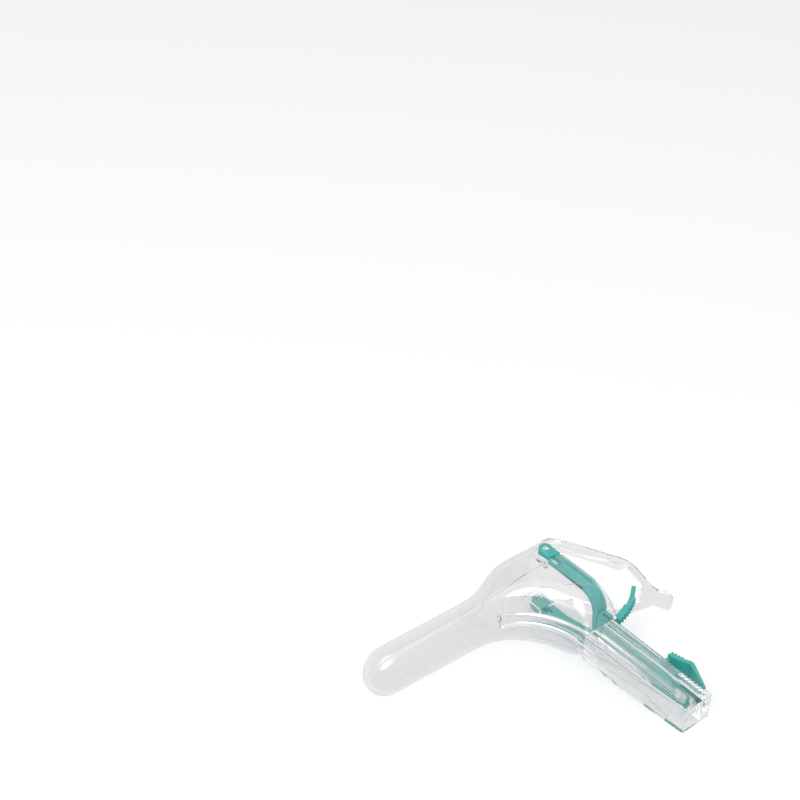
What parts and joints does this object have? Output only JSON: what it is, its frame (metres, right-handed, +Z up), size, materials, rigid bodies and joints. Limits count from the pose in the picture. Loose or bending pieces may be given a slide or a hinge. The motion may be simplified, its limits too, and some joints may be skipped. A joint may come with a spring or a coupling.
{
  "type": "bivalve speculum",
  "caption": "Clear plastic bivalve speculum with a hinged upper blade and thumb lever, a toothed angle arc, and a coloured yoke whose stem slides and latches in the handle.",
  "frame": {"origin": "on the resting surface, under the middle of the lying speculum's box", "axes": "+Z up from the surface that the speculum lies on, -X along the closed blades towards their tips, -Y down the handle"},
  "size_m": [0.181, 0.1486, 0.0531],
  "materials": {
    "clear_plastic": "clear moulded plastic, polished",
    "light_guide_plastic": "clear moulded plastic, polished",
    "teal_plastic": "moulded plastic, satin gloss"
  },
  "bodies": {
    "base": {"lower_blade": "clear_plastic", "handle": "clear_plastic", "light_guide": "light_guide_plastic"},
    "yoke_frame": {"yoke": "teal_plastic", "slide_stem": "teal_plastic"},
    "upper": {"upper_blade": "clear_plastic", "thumb_lever": "clear_plastic"},
    "arc": {"angle_ratchet": "teal_plastic"},
    "latch": {"slide_latch": "teal_plastic"}
  },
  "joints": [
    {"name": "yoke_slide", "type": "slide", "parent": "base", "child": "yoke_frame", "axis": [-0.0172, 0.9902, 0.1389], "range_m": [0, 0.0159]},
    {"name": "blade_pivot", "type": "hinge", "parent": "yoke_frame", "child": "upper", "pos_m": [0.04422, 0.05659, 0.02928], "axis": [0.1215, 0.14, -0.9827], "range_deg": [0, 24]},
    {"name": "arc_flex", "type": "hinge", "parent": "yoke_frame", "child": "arc", "pos_m": [0.0531, 0.00613, 0.02319], "axis": [-0.1215, -0.14, 0.9827], "range_deg": [0, 4], "stiffness_Nm_per_rad": 0.05, "springref_deg": -2.86},
    {"name": "latch_flex", "type": "hinge", "parent": "yoke_frame", "child": "latch", "pos_m": [0.04522, -0.03549, 0.01628], "axis": [-0.1215, -0.14, 0.9827], "range_deg": [0, 5], "stiffness_Nm_per_rad": 0.05, "springref_deg": -2.86}
  ]
}
